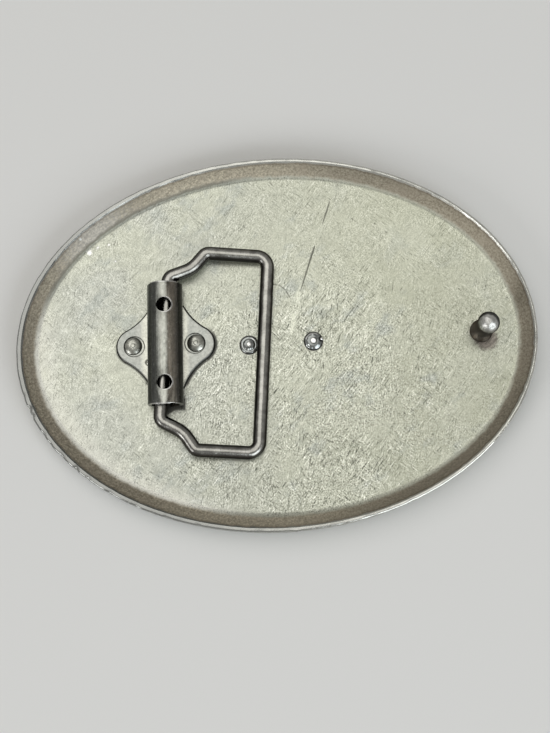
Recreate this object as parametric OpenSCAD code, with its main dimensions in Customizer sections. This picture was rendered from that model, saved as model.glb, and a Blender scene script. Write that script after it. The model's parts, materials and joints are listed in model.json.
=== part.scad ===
// Oval western belt buckle, lying on its front with its back side up.
// +X runs along the oval, +Z is up and the front rests on z = 0.

/* [Shell] */
// Length of the oval
shell_len = 110.6; // [108:0.2:116]
// Width of the oval
shell_wid = 80.3; // [79:0.1:86]
// Thickness of the plate under the floor
plate_t = 2.6; // [2.4:0.1:3.4]
// Height of the lip above the floor
dish_depth = 3.0; // [2.6:0.1:3.2]
// Width of the worn top of the lip, with its rounding
lip_w = 0.9; // [0.8:0.05:1.2]
// Width of the sloped wall, from the lip to the fillet
slope_w = 2.25; // [1.8:0.05:2.6]
// Width of the fillet at the foot of the wall
fillet_w = 1.35; // [0.8:0.05:1.6]
// Points round the oval
oval_steps = 96; // [72:8:104]

/* [Hinge plate] */
// Place of the tube's middle along the oval
tube_x = -23.45; // [-23.8:0.05:-23.1]
// Place of the tube's middle across the oval
tube_y = 0.6; // [0:0.1:1.2]
// Turn of the hinge plate, as it was riveted on
plate_turn = -2.2; // [-2.6:0.1:-1.8]
// Outer diameter of the curled tube
tube_d = 7.25; // [7.2:0.05:7.6]
// Length of the curled tube
tube_len = 25.9; // [25.4:0.1:26]
// Thickness of the sheet
sheet_t = 0.75; // [0.6:0.05:0.8]
// Width of the open seam under the tube
seam_w = 1.4; // [0.8:0.1:2]
// Diameter of the two holes in the top of the tube
tube_hole_d = 3.05; // [2:0.05:3.2]
// Distance between those holes
tube_hole_pitch = 16.4; // [15:0.1:17]
// Radius of an ear's round end
ear_r = 3.95; // [3.7:0.05:4.1]
// Radius of the hollow flanks of an ear
flank_r = 12; // [10:0.5:15]
// Half of the ear's width where it meets the tube
ear_root = 8.9; // [8.4:0.1:9.4]
// Reach of the left ear's rivet from the tube's middle
left_ear_reach = 7.0; // [6.6:0.05:7.4]
// Reach of the right ear's rivet from the tube's middle
right_ear_reach = 6.3; // [6.2:0.05:6.8]

/* [Rivets and pins] */
// Radius of the dome of an ear rivet
dome_r = 1.9; // [1.7:0.05:2.1]
// Height of that dome
dome_h = 1.0; // [0.8:0.05:1.2]
// Diameter of the shank of every rivet and pin
shank_d = 2.4; // [2:0.1:2.6]
// Place of the left centre pin along the oval
pin_left_x = -6.0; // [-6.6:0.1:-6]
// Place of the right centre pin along the oval
pin_right_x = 7.75; // [6:0.05:10]
// Radius of a centre pin's flattened collar
collar_r = 2.0; // [1.8:0.05:2.05]
// Height of that collar
collar_h = 0.42; // [0.3:0.02:0.44]
// Radius of the raised button in its middle
button_r = 1.15; // [0.9:0.05:1.3]
// Height of that button
button_h = 0.8; // [0.6:0.05:1]

/* [Peg] */
// Place of the peg along the oval
peg_x = 43.75; // [42:0.05:44.5]
// Height of the middle of the ball above the floor
ball_z = 8.3; // [7:0.1:9]
// Diameter of the ball
ball_d = 4.6; // [4:0.1:5]
// Diameter of the foot
foot_d = 4.9; // [4.6:0.1:5.4]
// Diameter of the neck
neck_d = 3.5; // [3:0.1:3.8]
// Lean of the peg towards the near end of the oval
lean_out = 1.8; // [0:0.1:3]
// Lean of the peg across the oval
lean_across = 1.4; // [0:0.1:3]

/* [Loop] */
// Diameter of the wire
wire_d = 2.86; // [2.7:0.02:2.9]
// Reach from the wire's line in the tube to the far bar
loop_reach = 21.05; // [21:0.05:21.4]
// Inner width of the loop, for a 38 mm belt
loop_gap = 39.4; // [38.8:0.1:39.6]
// Turn of the loop, which lies crooked in its loose tube
loop_turn = -6.0; // [-6.2:0.1:-5.6]
// Place of the loop's middle along the oval
loop_x = -23.9; // [-24:0.05:-23.8]
// Place of the loop's middle across the oval
loop_y = -0.2; // [-0.4:0.05:0]
// Clearance of the far bar above the floor
bar_clear = 0.17; // [0.14:0.01:0.3]
// Distance from the loop's middle to the bend beside the tube
arm_out = 15.3; // [15.2:0.1:15.8]
// Radius of the tight bends
tight_bend = 1.6; // [1.5:0.05:1.8]
// Radius of the shallow bend in each arm
arm_bend = 6; // [4:0.5:7]
// Radius of the two far corners
corner_bend = 2.4; // [2:0.1:3]

/* [Hidden] */
$fn = 72;
gap = 0.05;
cut = 1;

// Heights above the surface that the buckle lies on
floor_z = plate_t;
lip_z = plate_t + dish_depth;
crown_in = 11;
crown_h = 1.7;
crown_steps = 6;
edge_z = 2.5;
lip_round = 0.4;
lip_drop = 0.1;
fillet_h = 0.55;
half_len = shell_len / 2;
half_wid = shell_wid / 2;

// Hinge plate, in its own frame: the tube runs along y and the floor is z = 0
tube_r = tube_d / 2;
tube_axis = gap + tube_r;
tube_bore_r = tube_r - sheet_t;
tube_hole_shift = -0.25;
plate_top = gap + sheet_t;
left_ear = [-left_ear_reach, 0.15];
right_ear = [right_ear_reach, 0.6];
dimple_r = 2.4;
dimple_depth = 0.25;
weld_at = [-3.95, -3.3];
weld_r = 0.75;

// Shanks of rivets, pins and peg
shank_r = shank_d / 2;
blind_depth = 1.5;
rivet_base = plate_top - dimple_depth + gap;
collar_taper = 0.3;
peg_shank_r = 1.4;
foot_r = foot_d / 2;
foot_h = 0.9;
shoulder_h = 1.3;
neck_r = neck_d / 2;

// Loop
wire_r = wire_d / 2;
loop_half = loop_gap / 2 + wire_r;
loop_pitch = asin((tube_axis - wire_r - bar_clear) / loop_reach);
wire_end_y = 0.6;
bend_inset = 0.006;
bend_lap = 0.1;
knee_x = 5;
arm_slope = 24;
shoulder_slope = 53;

// Rows of [inset from the oval's edge, height]: the front's low crown, from its flat middle outwards
function crown_rows() = [
    for (i = [0 : crown_steps])
        let (turn = 90 * i / crown_steps)
        [crown_in * (1 - sin(turn)), crown_h * (1 - cos(turn))]
];

// The same kind of rows for the edge and the lip
function lip_rows() = [
    [0, edge_z],
    [0, lip_z - lip_round],
    [0.3 * lip_round, lip_z - 0.3 * lip_round],
    [lip_round, lip_z],
    [lip_w - lip_drop, lip_z],
    [lip_w, lip_z - lip_drop]
];

// The same kind of rows for the fillet, from the sloped wall down to the floor
function fillet_rows() = [
    for (step = [0 : 3])
        let (along = step / 3)
        [lip_w + slope_w + along * fillet_w, floor_z + fillet_h * pow(1 - along, 2)]
];

// A point of the oval, moved inwards square to the edge
function oval_point(turn, inset) =
    let (square = [half_wid * cos(turn), half_len * sin(turn)])
    [half_len * cos(turn), half_wid * sin(turn)] - inset * square / norm(square);

function oval_ring(row) = [
    for (i = [0 : oval_steps - 1])
        let (p = oval_point(360 * i / oval_steps, row[0]))
        [p[0], p[1], row[1]]
];

module shell_body() {
    rows = concat(crown_rows(), lip_rows(), fillet_rows());
    last = len(rows) - 1;
    walls = [
        for (k = [0 : last - 1], i = [0 : oval_steps - 1])
            let (
                a = k * oval_steps + i,
                b = k * oval_steps + (i + 1) % oval_steps
            )
            each [[a, a + oval_steps, b + oval_steps], [a, b + oval_steps, b]]
    ];
    front = [for (i = [0 : oval_steps - 1]) i];
    top = [for (i = [oval_steps - 1 : -1 : 0]) last * oval_steps + i];
    polyhedron([for (row = rows) each oval_ring(row)], concat(walls, [front, top]));
}

// Puts its children at a place on the floor, in the hinge plate's own frame
module on_plate(at) {
    translate([tube_x, tube_y, floor_z])
        rotate([0, 0, plate_turn])
            translate([at[0], at[1], 0])
                children();
}

module shell() {
    color([0.72, 0.73, 0.66])
        difference() {
            shell_body();
            for (x = [pin_left_x, pin_right_x])
                translate([x, 0, -cut])
                    cylinder(r = shank_r + gap, h = floor_z + 2 * cut);
            for (at = [left_ear, right_ear])
                on_plate(at)
                    translate([0, 0, -blind_depth])
                        cylinder(r = shank_r + gap, h = blind_depth + cut);
            translate([peg_x, 0, floor_z - blind_depth])
                cylinder(r = peg_shank_r + gap, h = blind_depth + cut);
        }
}

// Centre of a flank's circle, which touches the ear's round end and passes through the root.
// side is 1 for the upper flank and -1 for the lower one.
function flank_centre(ear, root, side) =
    let (
        span = norm(root - ear),
        unit = (root - ear) / span,
        far = ear_r + flank_r,
        along = (far * far - flank_r * flank_r + span * span) / (2 * span),
        aside = sqrt(far * far - along * along)
    )
    ear + along * unit + side * aside * [unit[1], -unit[0]];

// One ear that points to +X, from the tube's middle to its round end
module ear_shape(ear) {
    high_root = [tube_r, ear_root];
    low_root = [tube_r, -ear_root];
    high = flank_centre(ear, high_root, 1);
    low = flank_centre(ear, low_root, -1);
    difference() {
        union() {
            translate(ear)
                circle(r = ear_r);
            polygon([[0, ear_root], high_root, high, ear, low, low_root, [0, -ear_root]]);
        }
        for (centre = [high, low])
            translate(centre)
                circle(r = flank_r);
    }
}

module tube_rod(r, len) {
    translate([0, len / 2, tube_axis])
        rotate([90, 0, 0])
            cylinder(r = r, h = len);
}

module hinge_plate() {
    color([0.42, 0.42, 0.41])
        on_plate([0, 0])
            difference() {
                union() {
                    translate([0, 0, gap])
                        linear_extrude(sheet_t) {
                            ear_shape(right_ear);
                            mirror([1, 0])
                                ear_shape([-left_ear[0], left_ear[1]]);
                        }
                    tube_rod(tube_r, tube_len);
                    translate([weld_at[0], weld_at[1], plate_top])
                        sphere(r = weld_r);
                }
                tube_rod(tube_bore_r, tube_len + 2 * cut);
                translate([-seam_w / 2, -tube_len, -cut])
                    cube([seam_w, 2 * tube_len, tube_axis + cut]);
                for (side = [-1, 1])
                    translate([0, tube_hole_shift + side * tube_hole_pitch / 2, tube_axis])
                        cylinder(d = tube_hole_d, h = tube_r + cut);
                for (at = [left_ear, right_ear])
                    translate([at[0], at[1], 0]) {
                        cylinder(r = shank_r + gap, h = plate_top + cut);
                        translate([0, 0, plate_top - dimple_depth])
                            cylinder(r = dimple_r, h = dimple_depth + cut);
                    }
            }
}

// Domed rivet whose shank ends in the plate of the shell
module ear_rivet(at) {
    ball_r = (dome_r * dome_r + dome_h * dome_h) / (2 * dome_h);
    color([0.55, 0.55, 0.54])
        on_plate(at) {
            translate([0, 0, gap - blind_depth])
                cylinder(r = shank_r, h = blind_depth + rivet_base);
            intersection() {
                translate([0, 0, rivet_base + dome_h - ball_r])
                    sphere(r = ball_r);
                translate([0, 0, rivet_base])
                    cylinder(r = 2 * dome_r, h = 2 * dome_h);
            }
        }
}

module ear_rivet_left() {
    ear_rivet(left_ear);
}

module ear_rivet_right() {
    ear_rivet(right_ear);
}

// Pin through the shell, whose end on the floor is hammered flat round a low button
module centre_pin(x) {
    color([0.5, 0.5, 0.48])
        translate([x, 0, 0]) {
            translate([0, 0, gap])
                cylinder(r = shank_r, h = floor_z);
            translate([0, 0, floor_z + gap]) {
                cylinder(r1 = collar_r, r2 = collar_r - collar_taper, h = collar_h);
                cylinder(r = button_r, h = button_h);
            }
        }
}

module pin_left() {
    centre_pin(pin_left_x);
}

module pin_right() {
    centre_pin(pin_right_x);
}

module peg() {
    color([0.5, 0.49, 0.47])
        translate([peg_x, 0, floor_z + gap]) {
            translate([0, 0, -blind_depth])
                cylinder(r = peg_shank_r, h = blind_depth + foot_h);
            cylinder(r = foot_r, h = foot_h);
            translate([0, 0, foot_h])
                cylinder(r1 = foot_r, r2 = neck_r, h = shoulder_h);
            rotate([-lean_across, lean_out, 0]) {
                translate([0, 0, foot_h])
                    cylinder(r = neck_r, h = ball_z - foot_h);
                translate([0, 0, ball_z])
                    sphere(d = ball_d);
            }
        }
}

// Half of the loop's centre line as rows of [reach, side, bend], from the end in the tube
// to the far corner
function half_path() =
    let (
        knee_y = arm_out + knee_x * tan(arm_slope),
        shoulder_x = knee_x + (loop_half - knee_y) / tan(shoulder_slope)
    )
    [
        [0, wire_end_y, 0],
        [0, arm_out, tight_bend],
        [knee_x, knee_y, arm_bend],
        [shoulder_x, loop_half, tight_bend],
        [loop_reach, loop_half, corner_bend]
    ];

function mirrored(rows) = [for (i = [len(rows) - 1 : -1 : 0]) [rows[i][0], -rows[i][1], rows[i][2]]];

function heading(from, to) = atan2(to[1] - from[1], to[0] - from[0]);

// Turn of the path at row i, between -180 and 180 degrees, and none at the ends
function turn_at(rows, i) =
    (i == 0 || i == len(rows) - 1)
        ? 0
        : let (raw = heading(rows[i], rows[i + 1]) - heading(rows[i - 1], rows[i]))
          raw > 180 ? raw - 360 : raw < -180 ? raw + 360 : raw;

// Length that the bend at row i takes from the straights on both sides
function bend_cut(rows, i) = rows[i][2] * tan(abs(turn_at(rows, i)) / 2);

// Straight pieces and bends of round wire along rows of [x, y, bend]. A bend is a hair thinner
// than a straight piece and its ends lie just inside its neighbours.
module bent_wire(rows) {
    for (i = [0 : len(rows) - 2]) {
        away = heading(rows[i], rows[i + 1]);
        span = norm([rows[i + 1][0] - rows[i][0], rows[i + 1][1] - rows[i][1]]);
        first = bend_cut(rows, i);
        translate([rows[i][0], rows[i][1], 0])
            rotate([0, 0, away])
                translate([first, 0, 0])
                    rotate([0, 90, 0])
                        cylinder(r = wire_r, h = span - first - bend_cut(rows, i + 1));
    }
    for (i = [1 : len(rows) - 2]) {
        turn = turn_at(rows, i);
        side = sign(turn);
        arrive = heading(rows[i - 1], rows[i]);
        lap_turn = bend_lap / rows[i][2] * 180 / PI;
        translate([rows[i][0], rows[i][1], 0])
            rotate([0, 0, arrive])
                translate([-bend_cut(rows, i), side * rows[i][2], 0])
                    rotate([0, 0, (side > 0 ? -90 : 90 + turn) - lap_turn])
                        rotate_extrude(angle = abs(turn) + 2 * lap_turn)
                            translate([rows[i][2], 0])
                                circle(r = wire_r - bend_inset);
    }
}

module loop() {
    color([0.36, 0.36, 0.36])
        translate([loop_x, loop_y, floor_z + tube_axis])
            rotate([0, 0, loop_turn])
                rotate([0, loop_pitch, 0])
                    bent_wire(concat(half_path(), mirrored(half_path())));
}

shell();
hinge_plate();
ear_rivet_left();
ear_rivet_right();
pin_left();
pin_right();
peg();
loop();
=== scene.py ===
import bmesh
import bpy
import itertools
import json
import math
from mathutils import Matrix, Vector


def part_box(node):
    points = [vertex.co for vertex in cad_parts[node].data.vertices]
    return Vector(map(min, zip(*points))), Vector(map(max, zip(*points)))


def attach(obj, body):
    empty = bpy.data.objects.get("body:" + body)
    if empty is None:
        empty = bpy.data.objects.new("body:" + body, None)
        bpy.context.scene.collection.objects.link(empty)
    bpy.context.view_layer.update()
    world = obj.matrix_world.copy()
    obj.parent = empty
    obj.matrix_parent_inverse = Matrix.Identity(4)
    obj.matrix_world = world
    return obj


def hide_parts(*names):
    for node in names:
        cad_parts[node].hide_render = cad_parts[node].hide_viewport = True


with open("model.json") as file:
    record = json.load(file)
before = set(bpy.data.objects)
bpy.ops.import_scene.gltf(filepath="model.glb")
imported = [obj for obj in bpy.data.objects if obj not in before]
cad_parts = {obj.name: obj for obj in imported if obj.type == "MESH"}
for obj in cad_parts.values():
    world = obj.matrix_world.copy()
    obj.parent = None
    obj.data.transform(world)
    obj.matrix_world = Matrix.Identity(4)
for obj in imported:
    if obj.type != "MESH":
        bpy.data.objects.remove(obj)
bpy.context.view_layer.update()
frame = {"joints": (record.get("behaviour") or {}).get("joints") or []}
mm = 0.001


# Studio
# The buckle lies on its front on a plain pale floor, seen from almost straight above.
# One wide soft light hangs overhead, a little behind it, and two smaller ones stand low in front,
# on its right and on its left.
camera_place = (-3.362 * mm, -46.593 * mm, 265.926 * mm)
camera_tilt = math.radians(9)
camera_turn = math.radians(-3.537)
focal_pixels = 1250
image_height = 733
sensor_side = 36
under_buckle = 0.02 * mm
light_far = 1.1
warm_light = (1, 0.985, 0.95)
cool_light = (0.9, 0.96, 1)
bpy.ops.object.camera_add(location=camera_place, rotation=(camera_tilt, 0, camera_turn))
camera = bpy.context.object
camera.name = "camera"
camera.data.sensor_width = sensor_side
camera.data.lens = focal_pixels / image_height * sensor_side
camera.data.clip_start = 0.01
bpy.context.scene.camera = camera

bpy.ops.object.select_all(action="DESELECT")
bpy.ops.mesh.primitive_plane_add(size=6, location=(0, 0, -under_buckle))
bpy.ops.object.transform_apply()
floor = bpy.context.object
floor.name = "studio_floor"
floor_paint = bpy.data.materials.new("studio_floor")
floor_paint.use_nodes = True
floor_shader = floor_paint.node_tree.nodes["Principled BSDF"]
floor_shader.inputs["Base Color"].default_value = (0.78, 0.78, 0.77, 1)
floor_shader.inputs["Roughness"].default_value = 0.9
floor.data.materials.append(floor_paint)


def soft_light(name, towards, width, height, watts, tint=(1, 1, 1)):
    """Hangs a rectangular soft light in this direction from the buckle, with its face to it."""
    away = Vector(towards).normalized()
    turn = away.to_track_quat("Z", "Y").to_euler()
    bpy.ops.object.light_add(type="AREA", location=away * light_far, rotation=turn)
    light = bpy.context.object
    light.name = name
    light.data.shape = "RECTANGLE"
    light.data.size = width
    light.data.size_y = height
    light.data.energy = watts
    light.data.color = tint


soft_light("overhead_light", (-0.22, 0.33, 1), 0.95, 1.35, 4.45, warm_light)
soft_light("right_front_light", (0.8, -1.05, 0.92), 0.7, 0.7, 4.2, cool_light)
soft_light("left_front_light", (-1.0, -0.8, 0.62), 0.4, 0.4, 2.15)

world = bpy.data.worlds.new("studio")
world.use_nodes = True
daylight = world.node_tree.nodes["Background"]
daylight.inputs["Color"].default_value = (*warm_light, 1)
daylight.inputs["Strength"].default_value = 0.3
bpy.context.scene.world = world
bpy.context.scene.view_settings.view_transform = "Standard"


# Shell
# A cast zinc alloy dish: an oval plate with a low crown on its front, a flat floor on its back,
# a sloped wall round the floor and a narrow worn lip. It was tumbled, so the floor is pale and full
# of short marks. The wall kept its brown patina, and belts have polished the lip.
shell_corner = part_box("shell")[1]
half_len = shell_corner.x
half_wid = shell_corner.y
lip_z = shell_corner.z
floor_z = 2.6 * mm
crown_in = 11 * mm
crown_h = 1.7 * mm
crown_steps = 14
lip_round = 0.4 * mm
lip_w = 0.9 * mm
lip_edge = 0.12 * mm
lip_shift = (0.22 * mm, 0.06 * mm, 0)
floor_shift = (0, 0.015 * mm, 0)
slope_w = 2.25 * mm
slope_sag = 0.1 * mm
fillet_w = 1.35 * mm
fillet_h = 0.55 * mm
oval_points = 640
# Two points this close are one, and a hair more than a height takes in all that lies at it
same_place = 0.001 * mm
hair = 0.01 * mm


def take(piece):
    """Selects one piece alone and makes it active."""
    bpy.ops.object.select_all(action="DESELECT")
    piece.select_set(True)
    bpy.context.view_layer.objects.active = piece


def start_piece(name, add_primitive, **sizes):
    """Adds a primitive with nothing else selected, puts its place in its mesh and opens it for
    editing with all of it selected."""
    bpy.ops.object.select_all(action="DESELECT")
    add_primitive(**sizes)
    piece = bpy.context.object
    piece.name = piece.data.name = name
    bpy.ops.object.transform_apply()
    bpy.ops.object.mode_set(mode="EDIT")
    bpy.ops.mesh.select_all(action="SELECT")
    return piece


def start_plate(name, vertices, radius, **place):
    """Starts a piece as a round flat plate."""
    return start_piece(
        name, bpy.ops.mesh.primitive_circle_add, vertices=vertices, radius=radius, fill_type="NGON", **place
    )


def pick_faces(piece, wanted):
    """Selects just the faces whose middle and normal pass the test."""
    bpy.ops.mesh.select_mode(type="FACE")
    bpy.ops.mesh.select_all(action="DESELECT")
    mesh = bmesh.from_edit_mesh(piece.data)
    for face in mesh.faces:
        face.select_set(bool(wanted(face.calc_center_median(), face.normal)))
    bmesh.update_edit_mesh(piece.data)


def pick_points(piece, wanted):
    """Selects just the vertices whose place passes the test."""
    bpy.ops.mesh.select_mode(type="VERT")
    bpy.ops.mesh.select_all(action="DESELECT")
    mesh = bmesh.from_edit_mesh(piece.data)
    for point in mesh.verts:
        point.select_set(bool(wanted(point.co)))
    mesh.select_flush_mode()
    bmesh.update_edit_mesh(piece.data)


def draw_out(rise):
    """Extrudes what is selected upwards, or downwards by less than nothing."""
    bpy.ops.mesh.extrude_region_move(TRANSFORM_OT_translate={"value": (0, 0, rise)})


def face_out():
    """Turns all faces outwards."""
    bpy.ops.mesh.select_all(action="SELECT")
    bpy.ops.mesh.normals_make_consistent(inside=False)


def step_in(rows):
    """Insets the selected face along rows of [inset, height], each height counted along its normal."""
    for (inset, height), (next_inset, next_height) in zip(rows, rows[1:]):
        bpy.ops.mesh.inset(thickness=next_inset - inset, depth=next_height - height)


def push_near(piece, place, push, reach):
    """Moves the vertex nearest to a place, and what lies within reach of it less and less."""
    mesh = bmesh.from_edit_mesh(piece.data)
    nearest = min(mesh.verts, key=lambda point: (point.co - place).length_squared).co.copy()
    pick_points(piece, lambda co: (co - nearest).length < same_place)
    bpy.ops.transform.translate(
        value=push, use_proportional_edit=True, proportional_edit_falloff="SMOOTH", proportional_size=reach
    )


def close_piece(piece):
    """Turns all faces outwards and ends editing."""
    face_out()
    bpy.ops.object.mode_set(mode="OBJECT")
    take(piece)


def cut(piece, tool):
    """Cuts a tool's shape out of the piece, and takes the tool away."""
    close_piece(tool)
    take(piece)
    change = piece.modifiers.new("cut", "BOOLEAN")
    change.operation = "DIFFERENCE"
    change.object = tool
    change.solver = "EXACT"
    bpy.ops.object.modifier_apply(modifier=change.name)
    bpy.data.objects.remove(tool)


def drill(piece, x, y, bottom, top, radius):
    """Drills a round upright hole."""
    bit = start_piece(
        "bit", bpy.ops.mesh.primitive_cylinder_add, vertices=64, radius=radius, depth=top - bottom,
        location=(x, y, (bottom + top) / 2),
    )
    cut(piece, bit)


def shade(piece, degrees):
    """Shades smooth over all edges that turn less than this."""
    take(piece)
    bpy.ops.object.shade_smooth_by_angle(angle=math.radians(degrees))


def spoke(degrees):
    """The flat direction at this turn from X."""
    return Vector((math.cos(math.radians(degrees)), math.sin(math.radians(degrees)), 0))


def quarter(steps):
    """Turns from 0 to a quarter of a circle."""
    return [math.pi / 2 * step / steps for step in range(steps + 1)]


shell = start_plate("shell_dish", oval_points, 1, location=(0, 0, crown_h))
bpy.ops.transform.resize(value=(half_len, half_wid, 1))
draw_out(lip_z - lip_round - crown_h)
face_out()

# The lip with its round outer edge, the slightly hollow wall, and the fillet down to the floor
lip_rows = [(lip_round * (1 - math.cos(turn)), lip_round * math.sin(turn)) for turn in quarter(5)]
lip_rows.append((lip_w - lip_edge, lip_round))
lip_rows.append((lip_w, lip_round - lip_edge))
slope_top = lip_round - lip_edge
slope_foot = lip_round - (lip_z - floor_z) + fillet_h
slope_fall = slope_foot - slope_top
slope_rows = [
    (lip_w + part * slope_w, slope_top + part * slope_fall - slope_sag * math.sin(math.pi * part))
    for part in (0.12, 0.3, 0.5, 0.7, 0.88, 1)
]
fillet_rows = [
    (lip_w + slope_w + part * fillet_w, slope_foot - fillet_h * (1 - (1 - part) ** 2))
    for part in (0.2, 0.4, 0.6, 0.8, 1)
]
pick_faces(shell, lambda middle, normal: normal.z > 0.9)
step_in(lip_rows + slope_rows + fillet_rows)

# The front's inside was trimmed a little off centre, so the lip is widest at the left
lip_limit = 0.988


def shift_inside(below, shift):
    """Shifts what lies inside the lip, from the floor up to a height."""
    pick_points(
        shell,
        lambda co: floor_z - hair < co.z < below and math.hypot(co.x / half_len, co.y / half_wid) < lip_limit,
    )
    bpy.ops.transform.translate(value=shift)


shift_inside(lip_z + hair, lip_shift)
# The floor lies a little further back than the lip, and the wall leans with it
lean_steps = 8
for step in range(lean_steps):
    shift_inside(floor_z + 0.06 * mm + (lip_z - floor_z) * 0.9 * step / lean_steps, floor_shift)

# The front's low crown, from its edge to its flat middle
pick_faces(shell, lambda middle, normal: normal.z < -0.9)
step_in([(crown_in * (1 - math.cos(turn)), crown_h * math.sin(turn)) for turn in quarter(crown_steps)])

# Nicks in the lip, as turns round the oval, with how deep and how long each one is
lip_nicks = [
    (-167.7, 0.10, 1.2), (-163.6, 0.34, 0.9), (-161.3, 0.26, 0.8), (-155.5, 0.16, 1.6), (-151.8, 0.12, 1.0),
    (-147.6, 0.14, 1.4), (-142.3, 0.24, 1.0), (-138.3, 0.18, 0.9), (-131.7, 0.13, 1.5), (-124.6, 0.1, 1.1),
    (-117.2, 0.12, 1.3), (-109.5, 0.08, 1.0), (-88.3, -0.12, 1.1), (-62.0, 0.07, 1.2), (12.5, 0.06, 1.1),
    (154.0, 0.07, 1.2),
]
for degrees, depth, length in lip_nicks:
    out = spoke(degrees)
    edge = Vector((half_len * out.x, half_wid * out.y, lip_z - 0.1 * mm))
    push = -depth * mm * Vector((out.x, out.y, 0.5))
    push_near(shell, edge, push, length * mm)
close_piece(shell)

# The lip was worn by hand and by belts, so its edges wander a little
lip_group = shell.vertex_groups.new(name="lip")
lip_group.add([point.index for point in shell.data.vertices if point.co.z > lip_z - 0.7 * mm], 1, "REPLACE")
wear = bpy.data.textures.new("lip_wear", "CLOUDS")
wear.noise_scale = 2.2 * mm
wear.noise_depth = 1
wander = shell.modifiers.new("wear", "DISPLACE")
wander.texture = wear
wander.texture_coords = "LOCAL"
wander.vertex_group = "lip"
wander.strength = 0.16 * mm
wander.mid_level = 0.5
bpy.ops.object.modifier_apply(modifier=wander.name)

# Two holes right through for the centre pins
pin_middles = [(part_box(node)[0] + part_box(node)[1]) / 2 for node in ("pin_left", "pin_right")]
pin_hole_r = 1.25 * mm
bit_past = 1 * mm
for middle in pin_middles:
    drill(shell, middle.x, middle.y, -bit_past, floor_z + bit_past, pin_hole_r)
shade(shell, 30)


class Value:
    """What a shader node puts out, a number or a place, so that sums on it read as on paper."""

    def __init__(self, socket):
        self.socket = socket

    def __add__(self, other):
        return sums("ADD", self, other)

    def __sub__(self, other):
        return sums("SUBTRACT", self, other)

    def __rsub__(self, other):
        return sums("SUBTRACT", other, self)

    def __mul__(self, other):
        return sums("MULTIPLY", self, other)

    def __truediv__(self, other):
        return sums("DIVIDE", self, other)

    def __pow__(self, other):
        return sums("POWER", self, other)

    def __abs__(self):
        return sums("ABSOLUTE", self)

    x = property(lambda self: coordinate(self, "X"))
    y = property(lambda self: coordinate(self, "Y"))
    z = property(lambda self: coordinate(self, "Z"))


def plug(socket, value):
    """Links a socket when the value comes from a node, and sets it otherwise."""
    if isinstance(value, Value):
        socket.id_data.links.new(value.socket, socket)
    elif isinstance(value, tuple) and len(value) == 3 and socket.type == "RGBA":
        socket.default_value = (*value, 1)
    else:
        socket.default_value = value


def next_node(kind, inputs, output=0, **settings):
    """A new node in the tree that its inputs come from, and what it puts out."""
    tree = next(value.socket.id_data for value in inputs.values() if isinstance(value, Value))
    node = tree.nodes.new(kind)
    for name, setting in settings.items():
        setattr(node, name, setting)
    for label, value in inputs.items():
        plug(node.inputs[label], value)
    return Value(node.outputs[output])


def coordinate(place, axis):
    """One coordinate of a place."""
    return next_node("ShaderNodeSeparateXYZ", {0: place}, axis)


def in_plan(x, y):
    """A place from its two coordinates seen from above."""
    return next_node("ShaderNodeCombineXYZ", {"X": x, "Y": y})


def sums(operation, first, second=0.0):
    """One Math node."""
    return next_node("ShaderNodeMath", {0: first, 1: second}, operation=operation)


def larger(first, second):
    """The larger of two numbers."""
    return sums("MAXIMUM", first, second)


def smaller(first, second):
    """The smaller of two numbers."""
    return sums("MINIMUM", first, second)


def vector_sum(operation, first, second=(0.0, 0.0, 0.0)):
    """One Vector Math node."""
    output = "Value" if operation in ("LENGTH", "DOT_PRODUCT", "DISTANCE") else "Vector"
    return next_node("ShaderNodeVectorMath", {0: first, 1: second}, output, operation=operation)


def scaled(place, times):
    """A place or a colour with all its parts multiplied by the same number."""
    return next_node("ShaderNodeVectorMath", {0: place, "Scale": times}, operation="SCALE")


def flat(place):
    """A place moved straight down to height 0."""
    return vector_sum("MULTIPLY", place, (1, 1, 0))


def distance(first, second):
    """How far two places are from each other."""
    return vector_sum("DISTANCE", first, second)


def ramp(value, low, high, to_low=0.0, to_high=1.0):
    """A smooth step of the value from low to high."""
    inputs = {0: value, 1: low, 2: high, 3: to_low, 4: to_high}
    return next_node("ShaderNodeMapRange", inputs, interpolation_type="SMOOTHSTEP")


def blend(share, first, second):
    """The first colour with this share of the second one."""
    return next_node("ShaderNodeMix", {0: share, 6: first, 7: second}, 2, data_type="RGBA")


def mottle(where, features_mm, detail=2.0, roughness=0.5):
    """Soft noise whose blotches are about this wide."""
    inputs = {"Vector": where, "Scale": 1 / (features_mm * mm), "Detail": detail, "Roughness": roughness}
    return next_node("ShaderNodeTexNoise", inputs, "Fac")


def uneven(value, noise, width):
    """The value, pushed up and down by a noise over this width in all."""
    return value + (noise - 0.5) * width


def turned(where, degrees=0.0, stretch=(1.0, 1.0, 1.0), shift_mm=(0.0, 0.0, 0.0)):
    """The pattern's coordinates, moved, turned about Z and then stretched."""
    shift = [side * mm for side in shift_mm]
    inputs = {"Vector": where, "Location": shift, "Rotation": (0, 0, math.radians(degrees)), "Scale": stretch}
    return next_node("ShaderNodeMapping", inputs, vector_type="TEXTURE")


def new_group(name, places, numbers, outputs):
    """An empty shader node group that is given places and numbers: the group, what it is given, and
    the sockets of its outputs."""
    tree = bpy.data.node_groups.new(name, "ShaderNodeTree")
    for label in places:
        tree.interface.new_socket(name=label, in_out="INPUT", socket_type="NodeSocketVector")
    for label in numbers:
        tree.interface.new_socket(name=label, in_out="INPUT", socket_type="NodeSocketFloat")
    for label in outputs:
        tree.interface.new_socket(name=label, in_out="OUTPUT", socket_type="NodeSocketFloat")
    given = {socket.name: Value(socket) for socket in tree.nodes.new("NodeGroupInput").outputs}
    return tree, given, tree.nodes.new("NodeGroupOutput").inputs


def use_group(group, **values):
    """Places a group where its values come from and returns what it puts out."""
    node = next_node("ShaderNodeGroup", values, node_tree=group).socket.node
    return {socket.name: Value(socket) for socket in node.outputs}


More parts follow.
